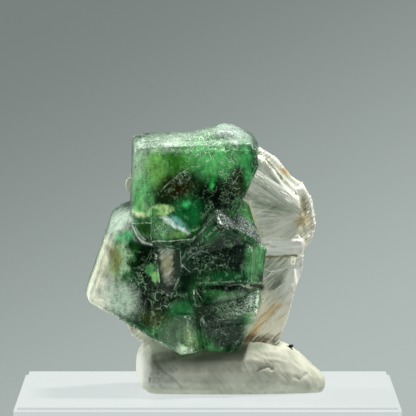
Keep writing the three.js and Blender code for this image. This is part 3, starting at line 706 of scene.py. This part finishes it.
def core_tree():
    """The form of the coloured zones: the crystals' own form, a clear skin further in."""
    nodes, given = geometry_tree("coloured core", "Voxel", "Skin")
    band = 4.0  # how far inwards the volume goes on filling up
    sockets = {"Mesh": given["Geometry"], "Voxel Size": given["Voxel"] * MM, "Interior Band Width": band * MM}
    solid = nodes.add("GeometryNodeMeshToVolume", {"resolution_mode": "VOXEL_SIZE"}, sockets)
    sockets = {"Volume": solid, "Threshold": given["Skin"] / band}
    inner = nodes.add("GeometryNodeVolumeToMesh", {"resolution_mode": "GRID"}, sockets)
    place = place_in_mm(nodes)
    sunk = greatest(nodes.within(place, *spot) for spot in THICK_SKIN)
    wave = nodes.noise(place, 1.6, 3.0) - 0.5
    moved = nodes.raised(inner, sunk * -THICKER + wave * CORE_WAVES)
    painted = nodes.stored(moved, "zones", zone_colours(nodes, place), "FLOAT_COLOR")
    return closed_tree(nodes, given, painted)


def scattered(nodes, geometry, per_square_mm, seed):
    """Points scattered on a surface, with how each is turned to stand on it."""
    sockets = {"Mesh": geometry, "Density": per_square_mm * PER_METRE**2, "Seed": seed}
    points = nodes.add("GeometryNodeDistributePointsOnFaces", {"distribute_method": "RANDOM"}, sockets)
    return points, Field(nodes, points.socket.node.outputs["Rotation"])


def grit_tree():
    """Small broken cubes on the rough faces."""
    nodes, given = geometry_tree("grit", "Grains per square mm", "Smallest", "Largest")
    rough = rough_faces(nodes, place_in_mm(nodes))
    points, _ = scattered(nodes, given["Geometry"], rough * given["Grains per square mm"], seed=5)
    cube = nodes.add("GeometryNodeMeshCube", sockets={"Size": (MM, MM, MM)})
    whole_turns = (6.28, 6.28, 6.28)
    angles = nodes.random((0.0, 0.0, 0.0), whole_turns, seed=11)
    turn = nodes.add("FunctionNodeEulerToRotation", sockets={"Euler": angles})
    size = nodes.random(given["Smallest"], given["Largest"], seed=12)
    return closed_tree(nodes, given, nodes.strewn(points, cube, turn, size))


# The mica's sheets spread like a fan from one point, and lie slanting in the rest of the block.
FAN_POINT = (14.4, 23.8)
SLANT = 42.0  # degrees, rising to the right

# Stains on the mica, and painted light and shade on it: colour, X and Z of the middle, half the width and
# height, turn and softness.
STAINS = [
    # painted light: the ledge faces up, towards the lamp
    ("painted light on the ledge", (246, 249, 240), 9.8, 19.8, 3.2, 1.0, -3, 0.3),
    ("pearly upper face", (208, 214, 200), 9.6, 27.6, 2.6, 1.6, -36, 0.5),
    # painted shade in the valley between the books
    ("painted shade in the valley between the books", (158, 172, 150), 8.3, 25.5, 3.0, 0.8, -14, 0.7),
    ("rim", (212, 212, 190), 13.8, 22.4, 0.9, 5.5, 4, 0.4),
    ("lower block", (236, 230, 206), 8.6, 9.6, 3.4, 4.0, 20, 0.5),
    ("rust spot", (192, 148, 80), 10.9, 29.9, 0.9, 0.5, -35, 0.5),
    # painted shade in the groove of the rim, olive
    ("olive painted shade in the groove of the rim", (116, 112, 74), 13.3, 25.4, 0.5, 1.5, 12, 0.4),
    ("brown shelf", (206, 188, 140), 13.3, 23.3, 1.1, 0.8, 10, 0.5),
    ("rust streak", (222, 194, 144), 7.6, 9.6, 3.0, 0.45, 52, 0.6),
    ("second rust streak", (212, 184, 134), 9.4, 11.4, 1.8, 0.3, 30, 0.6),
    ("third rust streak", (206, 170, 114), 6.3, 8.4, 1.8, 0.4, 60, 0.6),
    # painted shade at the end and on the face of the lower books, and a brown painted shadow under the mica
    ("painted shade at the end of the lower books", (112, 118, 103), 9.8, 14.9, 1.7, 0.5, 50, 0.5),
    ("brown painted shadow under the mica", (84, 66, 38), 5.6, 7.0, 3.8, 0.8, 5, 0.5),
    ("painted shade on the face of the lower books", (158, 168, 150), 8.8, 16.6, 2.2, 1.7, 0, 0.4),
    # painted highlights on the rim and at the end of the ledge
    ("painted highlight on the low rim", (252, 253, 246), 11.8, 16.4, 0.9, 3.4, -14, 0.5),
    ("painted highlight on the upper rim", (240, 242, 232), 11.8, 27.4, 0.9, 1.0, -40, 0.5),
    ("painted highlight at the end of the ledge", (238, 240, 230), 12.2, 20.9, 0.9, 0.6, 10, 0.5),
    ("blade, grey top", (112, 152, 124), -5.2, 19.8, 1.6, 1.0, 0, 0.4),
    ("blade, beige middle", (176, 178, 122), -5.2, 17.7, 1.3, 1.6, 0, 0.4),
    ("blade, pale foot", (122, 140, 120), -5.0, 15.6, 1.3, 0.7, 0, 0.4),
    ("left sliver", (212, 206, 186), -10.4, 28.0, 1.0, 2.0, 0, 0.5),
    ("lower left sliver", (196, 186, 148), -8.8, 8.2, 1.6, 1.0, 0, 0.5),
]
MICA_DEPTH, MICA_REACH = -4.0, 7.0  # the middle of the stains from front to back, and half their depth
STAIN_SHARE, LINE_SHARE = 0.85, 0.95  # how much of the mica's own colour a stain and a line cover

# Lines on the mica, among them painted shade and a painted glint: colour, width and the points that they run
# through, X and Z.
MICA_LINES = [
    ("crack in the blade", (46, 26, 48), 0.2, [(-4.2, 19.2), (-4.1, 17.4), (-4.7, 16.0)]),
    ("dark right flank of the blade", (8, 52, 22), 2.0, [(-3.3, 20.2), (-3.4, 17.2), (-3.6, 14.4)]),
    ("dark left flank of the blade", (16, 62, 28), 1.5, [(-6.9, 19.2), (-6.5, 17.4), (-6.0, 15.4)]),
    ("dark foot of the blade", (8, 40, 18), 1.8, [(-6.6, 14.3), (-3.6, 14.3)]),
    # painted shade in the groove under the ledge
    ("painted shade in the groove under the ledge", (114, 112, 68), 0.45, [(8.2, 18.4), (10.2, 18.4), (12.2, 18.6)]),
    ("shade between the crystals", (24, 44, 28), 0.9, [(5.0, 14.9), (6.4, 14.6), (7.5, 14.3)]),
    ("cream edge beside the crystals", (228, 222, 188), 0.3, [(5.8, 26.0), (6.6, 24.0), (7.5, 21.2)]),
    ("glint on the lower books", (238, 242, 232), 0.16, [(7.4, 16.7), (9.0, 16.4), (10.3, 16.8)]),
    # painted shade in the groove below the top
    ("painted shade in the groove below the top", (96, 106, 74), 0.3, [(8.1, 31.7), (9.6, 30.0), (10.4, 28.9)]),
]


def from_fan_point(nodes, place):
    """How far a place is from the point that the sheets spread from, across and up."""
    return nodes.part(place, "X") - FAN_POINT[0], nodes.part(place, "Z") - FAN_POINT[1]


def share_of_fan(nodes, place):
    """1 where the sheets spread like a fan."""
    return nodes.within(place, (8.4, -3.0, 25.6), (4.9, 6.0, 5.2), 0, 0.12)


def sheet_edges(nodes, place):
    """The fine parallel edges of the mica's sheets: 0 in a groove and 1 on a ridge."""
    place = nodes.strayed(place, 1.2, 0.08)
    across, up = from_fan_point(nodes, place)
    depth = nodes.part(place, "Y")
    angle = up.maths("ARCTAN2", up, 0 - across)
    radius = (across * across + up * up) ** 0.5
    # Each pattern is close-set across the sheets and drawn out along them.
    fan = nodes.noise(nodes.combined(angle * 24.0, radius * 0.3, depth * 0.5), 1.0, 5.0, 0.7)
    slanted = nodes.vector("MULTIPLY", nodes.turned(place, SLANT), (0.3, 0.5, 3.6))
    slanted = nodes.noise(slanted, 1.0, 5.0, 0.7)
    level = nodes.noise(nodes.vector("MULTIPLY", place, (0.4, 0.6, 4.0)), 1.0, 4.0, 0.65)
    ledge = nodes.within(place, (9.8, -3.0, 19.8), (3.4, 6.0, 1.2), -3, 0.2)
    edges = slanted.toward(fan, share_of_fan(nodes, place))
    return edges.toward(level, ledge)


def mica_finish():
    """Pearly mica: pale sheets seen edge-on, dark between them, with rust in places, painted light and shade,
    and a painted glow.
    """
    material, nodes = finish_of("muscovite")
    place = place_in_mm(nodes)
    drawn = nodes.strayed(nodes.strayed(place, 1.8, 0.4), 0.4, 0.15)
    edges = sheet_edges(nodes, place)
    marks = nodes.attribute("edge")
    mottle = nodes.noise(place, 2.2, 4.0, 0.6)
    broken = nodes.ragged(place, 0.7, 1.6)
    torn = broken + (edges - 0.5) * 2.5
    colour = nodes.blend((224, 227, 213), (202, 207, 191), mottle.rise(0.4, 0.65))
    for _, tint, x, z, width, height, turn, soft in STAINS:
        area = nodes.within(drawn, (x, MICA_DEPTH, z), (width, MICA_REACH, height), turn, soft, torn)
        colour = nodes.blend(colour, tint, area * STAIN_SHARE)
    colour = nodes.layered(
        colour,
        # dark in the grooves between the sheets and light on their ridges: partly the sheets' own lines,
        # partly painted shade and painted highlights
        ((112, 122, 104), edges.rise(0.49, 0.33) * 0.6),
        ((240, 243, 233), edges.rise(0.53, 0.66) * 0.7),
        # painted shade in the hollows and painted highlights where the surface stands out
        ((110, 110, 84), marks.rise(-0.03, -0.12) * 0.5),
        ((232, 234, 218), marks.rise(0.03, 0.1) * 0.25),
    )
    front = nodes.part(place, "Y").rise(-0.5, -2.0)
    for _, tint, width, points in MICA_LINES:
        line = nodes.path(drawn, at_depth(points, MICA_DEPTH), width, 0.5, broken)
        colour = nodes.blend(colour, tint, line * front * LINE_SHARE)
    # a painted glow in the mica's own colour, full at the front and weaker on the back
    front_share_of_glow = nodes.part(place, "Y").rise(6.0, 2.0)
    painted_glow_colour = nodes.scaled(colour, PAINTED_BACK_GLOW + (1 - PAINTED_BACK_GLOW) * front_share_of_glow)
    height = edges + 0.3 * nodes.noise(place, 0.3, 3.0, 0.7)
    coat = {"Coat Weight": 0.15, "Coat Roughness": 0.2, "Normal": nodes.bump(0.5, 0.08, height)}
    painted_glow = {"Emission Color": painted_glow_colour, "Emission Strength": PAINTED_SHEET_GLOW}
    sheets = {"Base Color": colour, "Roughness": 0.34 + 0.3 * mottle, "IOR": MICA_REFRACTION}
    close_finish(nodes, {**sheets, **coat, **painted_glow})
    return material


def mica_relief():
    """Ridges along the edges of the mica's sheets, and crumbled lumps."""
    nodes, given = geometry_tree("mica relief", "Ridge height", "Lump height")
    place = place_in_mm(nodes)
    lumps = nodes.noise(place, 1.5, 3.0, 0.6) - 0.5
    ridges = sheet_edges(nodes, place) - 0.5
    height = ridges * given["Ridge height"] + lumps * given["Lump height"]
    moved = nodes.raised(given["Geometry"], height)
    return closed_tree(nodes, given, edge_marks(nodes, moved, rounds=6))


def flake_tree():
    """Loose flakes on the mica, lying along its sheets."""
    nodes, given = geometry_tree("mica flakes", "Flakes per square mm", "Length", "Width", "Thickness")
    place = place_in_mm(nodes)
    patches = nodes.noise(place, 1.4, 2.0).rise(0.42, 0.6)
    points, standing = scattered(nodes, given["Geometry"], patches * given["Flakes per square mm"], seed=21)
    size = nodes.combined(given["Length"] * MM, given["Width"] * MM, given["Thickness"] * MM)
    flake = nodes.add("GeometryNodeMeshCube", sockets={"Size": size})
    across, up = from_fan_point(nodes, place)
    slant = math.radians(SLANT)
    slanting, fanned = (math.cos(slant), 0.0, math.sin(slant)), nodes.combined(across, 0.0, up)
    sockets = {0: share_of_fan(nodes, place), 4: slanting, 5: fanned}
    run = nodes.add("ShaderNodeMix", {"data_type": "VECTOR"}, sockets, 1)
    settings = {"axis": "X", "pivot_axis": "Z"}
    laid = nodes.add("FunctionNodeAlignRotationToVector", settings, {"Rotation": standing, "Vector": run})
    angles = nodes.random((-0.2, -0.05, -0.1), (0.2, 0.05, 0.1), seed=22)
    lean = nodes.add("FunctionNodeEulerToRotation", sockets={"Euler": angles})
    sockets = {"Rotation": laid, "Rotate By": lean}
    tilted = nodes.add("FunctionNodeRotateRotation", {"rotation_space": "LOCAL"}, sockets)
    scale = nodes.random(0.4, 1.3, seed=23)
    return closed_tree(nodes, given, nodes.strewn(points, flake, tilted, scale))


# Dents in the putty: depth, width and the points that they run through, X and Z.
DENTS = [
    ("fold", 0.22, 0.45, [(7.0, 3.4), (7.6, 3.9), (8.4, 4.0), (8.9, 3.7)]),
    ("nick", 0.14, 0.4, [(12.0, 2.4), (12.8, 2.1), (13.6, 2.7)]),
    ("upper smear", 0.05, 0.4, [(6.4, 6.0), (8.4, 5.4), (10.6, 4.8)]),
    ("lower smear", 0.04, 0.4, [(6.8, 5.2), (8.6, 4.7), (10.2, 4.4)]),
    ("crease on the left", 0.2, 0.5, [(-6.4, 4.2), (-4.8, 2.8), (-3.2, 1.2)]),
]
PUTTY_DEPTH = -7.0  # the putty's front, for what is drawn there
PITTED = (-6.0, PUTTY_DEPTH, 2.2)  # a grey, pitted place
PAINTED_LIGHT_LOBE = (-9.0, PUTTY_DEPTH, 3.0)  # a paler one: painted light on the left lobe
SMEAR = -52.0  # how the marks of the fingers slant, in degrees

# The green-grey shade of the crystals on the putty: the points that it runs through, X and Z.
GREEN_SHADE = [(-6.6, 5.0), (-4.7, 5.5), (-1.3, 5.2), (1.6, 5.5), (4.7, 6.3), (7.4, 7.0)]


def smears(nodes, place):
    """Long soft marks of the fingers that pressed the putty."""
    slanted = nodes.vector("MULTIPLY", nodes.turned(nodes.strayed(place, 3.0, 0.4), SMEAR), (0.22, 0.6, 2.2))
    return nodes.noise(slanted, 1.0, 4.0, 0.6)


def putty_dents(nodes, place):
    """How deep the putty is dented at a place, in millimetres."""
    drawn = nodes.strayed(place, 1.2, 0.3)
    torn = nodes.ragged(place, 0.8, 2.0)
    dents = [
        nodes.path(drawn, at_depth(points, PUTTY_DEPTH), width, 0.8, torn) * deep
        for _, deep, width, points in DENTS
    ]
    pitted = nodes.within(drawn, PITTED, (1.7, 4.0, 1.4), 0, 0.3)
    pits = nodes.noise(place, 0.45, 3.0, 0.7).rise(0.5, 0.65) * pitted * 0.25
    return greatest((*dents, pits))


def putty_finish():
    """Dull grey-white putty with smeared dirt, painted shade in its dents, a painted shadow of the crystals
    and painted light on its left lobe.
    """
    material, nodes = finish_of("putty")
    place = place_in_mm(nodes)
    dents = putty_dents(nodes, place)
    streaks = smears(nodes, place)
    mottle = nodes.noise(place, 2.4, 4.0, 0.6).rise(0.35, 0.65)
    smeared = nodes.noise(place, 5.0, 2.0).rise(0.42, 0.6)
    grey = nodes.within(nodes.strayed(place, 1.0, 0.4), PITTED, (2.0, 4.0, 1.6), -20, 0.4)
    pale = nodes.within(place, PAINTED_LIGHT_LOBE, (1.2, 6.0, 3.4), 0, 0.5)
    shade = nodes.path(place, at_depth(GREEN_SHADE, PUTTY_DEPTH), 1.8, 0.9)
    shade = shade * nodes.part(place, "Y").rise(-3.0, -5.0)
    colour = nodes.layered(
        nodes.blend((212, 213, 194), (188, 190, 170), mottle),
        ((160, 164, 146), streaks.rise(0.5, 0.3) * smeared * 0.6),
        ((226, 228, 212), streaks.rise(0.55, 0.72) * smeared * 0.5),
        ((200, 203, 198), grey * 0.4),
        # painted light on the left lobe
        ((250, 251, 240), pale * 0.8),
        ((88, 102, 80), shade * 0.75),
        # painted shade in the dents
        ((128, 122, 96), dents.rise(0.06, 0.35) * 0.6),
        ((60, 58, 46), nodes.noise(place, 0.3, 2.0).rise(0.7, 0.76) * 0.5),
        ((34, 36, 32), nodes.within(place, SPECK, (0.6, 0.6, 0.6), 0, 0.05)),
    )
    fine = nodes.noise(place, 0.16, 3.0, 0.6) * 0.4 + streaks
    close_finish(nodes, {"Base Color": colour, "Roughness": 0.72, "Normal": nodes.bump(0.35, 0.1, fine)})
    return material


def putty_relief():
    """Soft lumps, finger smears and dents in the putty."""
    nodes, given = geometry_tree("putty relief", "Lump height", "Smear height")
    place = place_in_mm(nodes)
    lumps = (nodes.noise(place, 4.0, 2.0) - 0.5) * given["Lump height"]
    marks = (smears(nodes, place) - 0.5) * given["Smear height"]
    above = nodes.part(place, "Z").rise(0.3, 1.2)
    height = (lumps + marks - putty_dents(nodes, place)) * above
    return closed_tree(nodes, given, nodes.raised(given["Geometry"], height))


def contact_tree():
    """Brings what is left open between two pieces together: points near the neighbour move onto it."""
    nodes, given = geometry_tree("contact", "Reach")
    settings = {"transform_space": "RELATIVE"}
    other = nodes.add("GeometryNodeObjectInfo", settings, {"Object": given["Neighbour"]}, "Geometry")
    nearest = nodes.add("GeometryNodeProximity", {"target_element": "FACES"}, {0: other}, "Position")
    distance = Field(nodes, nearest.socket.node.outputs["Distance"])
    reach = given["Reach"] * MM
    share = distance.rise(reach, reach * SEAM_NEAR) * SEAM_CLOSED
    away = nodes.vector("SUBTRACT", nearest, nodes.add("GeometryNodeInputPosition"))
    return closed_tree(nodes, given, nodes.moved(given["Geometry"], nodes.scaled(away, share)))


def add_speck(piece):
    """Sticks a lumpy grain of dirt on the putty."""
    shape = bmesh.new()
    shape.from_mesh(piece.data)
    grain = bmesh.ops.create_icosphere(shape, subdivisions=2, radius=SPECK_RADIUS * MM)["verts"]
    for vertex in grain:
        lump = math.sin(SPECK_WAVE * vertex.co.x * PER_METRE + SPECK_START)
        vertex.co = vertex.co * (1 + SPECK_LUMPS * lump) + Vector(SPECK) * MM
    shape.to_mesh(piece.data)
    shape.free()


def handed_in(piece, node=None):
    """The piece is shaded smooth, rides on the one body and may stand for a node."""
    faces = piece.data.polygons
    faces.foreach_set("use_smooth", [True] * len(faces))
    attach(piece, "root")
    if node:
        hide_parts(node)


contact = contact_tree()

fluorite = copied("fluorite_crystals_fine", nodes_in["fluorite_crystals"])
remesh(fluorite, CRYSTAL_VOXEL, polish=2)
core = copied("fluorite_colour_zones", fluorite)
grow(core, core_tree(), Voxel=CORE_VOXEL, Skin=CLEAR_SKIN, Finish=zone_finish())
sizes = {"Hillock height": 0.08, "Etching depth": 0.14, "Grain height": 0.5}
grow(fluorite, crystal_relief(), Finish=crystal_skin(), **sizes)
grit = copied("fluorite_grit", fluorite)
sizes = {"Grains per square mm": 22.0, "Smallest": 0.08, "Largest": 0.2}
grow(grit, grit_tree(), Finish=grit_finish(), **sizes)

mica = copied("muscovite_fine", nodes_in["muscovite_matrix"])
remesh(mica, MICA_VOXEL, polish=2)
pearl = mica_finish()
sizes = {"Ridge height": 0.07, "Lump height": 0.1}
grow(mica, mica_relief(), Finish=pearl, **sizes)
grow(mica, contact, Neighbour=fluorite, Reach=SEAM_REACH, Finish=pearl)
flakes = copied("muscovite_flakes", mica)
sizes = {"Flakes per square mm": 3.0, "Length": 0.8, "Width": 0.16, "Thickness": 0.03}
grow(flakes, flake_tree(), Finish=pearl, **sizes)

putty = copied("putty_fine", nodes_in["mounting_putty"])
remesh(putty, PUTTY_VOXEL, polish=6)
clay = putty_finish()
sizes = {"Lump height": 0.6, "Smear height": 0.12}
grow(putty, putty_relief(), Finish=clay, **sizes)
for neighbour in (fluorite, mica):
    grow(putty, contact, Neighbour=neighbour, Reach=SEAM_REACH, Finish=clay)
add_speck(putty)

handed_in(fluorite, "fluorite_crystals")
handed_in(core)
handed_in(grit)
handed_in(mica, "muscovite_matrix")
handed_in(flakes)
handed_in(putty, "mounting_putty")


def point_of(x, y, z):
    """A place in millimetres as Blender takes it."""
    return Vector((x, y, z)) * MM


def add_camera():
    """A long lens, a little above the crystals' middle."""
    rise = math.radians(CAMERA_RISE)
    aim = point_of(*AIM)
    back = Vector((0, -math.cos(rise), math.sin(rise)))
    data = bpy.data.cameras.new("camera")
    data.lens = LENS
    data.sensor_width = 36.0
    data.clip_start = 0.05
    data.clip_end = 20.0
    camera = new_object("camera", data)
    camera.location = aim + back * CAMERA_DISTANCE * MM
    camera.rotation_euler = (-back).to_track_quat("-Z", "Y").to_euler()
    bpy.context.scene.camera = camera


def add_lamp(name, place, size, power, colour):
    """A soft square lamp that faces the specimen."""
    data = bpy.data.lights.new(name, "AREA")
    data.shape = "SQUARE"
    data.size = size * MM
    data.energy = power
    data.color = colour
    lamp = new_object(name, data)
    lamp.location = point_of(*place)
    lamp.rotation_euler = (point_of(*AIM) - lamp.location).to_track_quat("-Z", "Y").to_euler()


def add_world():
    """Grey studio air, lighter towards the floor and dim in front of the specimen."""
    world = bpy.data.worlds.new("studio")
    world.use_nodes = True
    world.node_tree.nodes.clear()
    nodes = Nodes(world.node_tree)
    direction = nodes.add("ShaderNodeTexCoord", output="Generated")
    height = nodes.part(direction, "Z") + nodes.part(direction, "X") * -0.45
    colour = nodes.blend((178, 188, 184), (121, 130, 127), height.rise(-0.115, -0.01))
    behind = nodes.part(direction, "Y").rise(-0.3, 0.3)
    colour = nodes.scaled(colour, FRONT_AIR + (1 - FRONT_AIR) * behind)
    light = nodes.add("ShaderNodeBackground", sockets={"Color": colour, "Strength": 1.0})
    nodes.add("ShaderNodeOutputWorld", sockets={"Surface": light})
    bpy.context.scene.world = world


def add_floor():
    """A small plain pale floor with rounded edges."""
    left, right, near, far, thick, rounding = -25.2, 25.9, -23.2, 29.2, 8.0, 0.5
    mesh = bpy.data.meshes.new("floor")
    shape = bmesh.new()
    bmesh.ops.create_cube(shape, size=1.0)
    for corner in shape.verts:
        x, y, z = corner.co
        across, away = (left + right) / 2 + x * (right - left), (near + far) / 2 + y * (far - near)
        corner.co = point_of(across, away, (z - 0.5) * thick)
    bmesh.ops.bevel(shape, geom=shape.edges[:], offset=rounding * MM, segments=3, affect="EDGES")
    shape.to_mesh(mesh)
    shape.free()
    floor = new_object("floor", mesh)
    material, nodes = finish_of("pale floor")
    sockets = {"Base Color": (0.08, 0.08, 0.08, 1), "Roughness": 0.6}
    close_finish(nodes, {**sockets, "Emission Color": (0.9, 0.98, 0.97, 1), "Emission Strength": 0.64})
    mesh.materials.append(material)


add_camera()
add_floor()
add_world()
add_lamp("key", (165, 0, 505), size=50, power=3.5, colour=(1.0, 0.99, 0.96))
add_lamp("fill", (400, -210, 180), size=100, power=0.4, colour=(1.0, 1.0, 0.98))
add_lamp("back", (-380, 140, 240), size=110, power=1.8, colour=(0.98, 1.0, 1.0))
bpy.context.scene.view_settings.view_transform = "Standard"
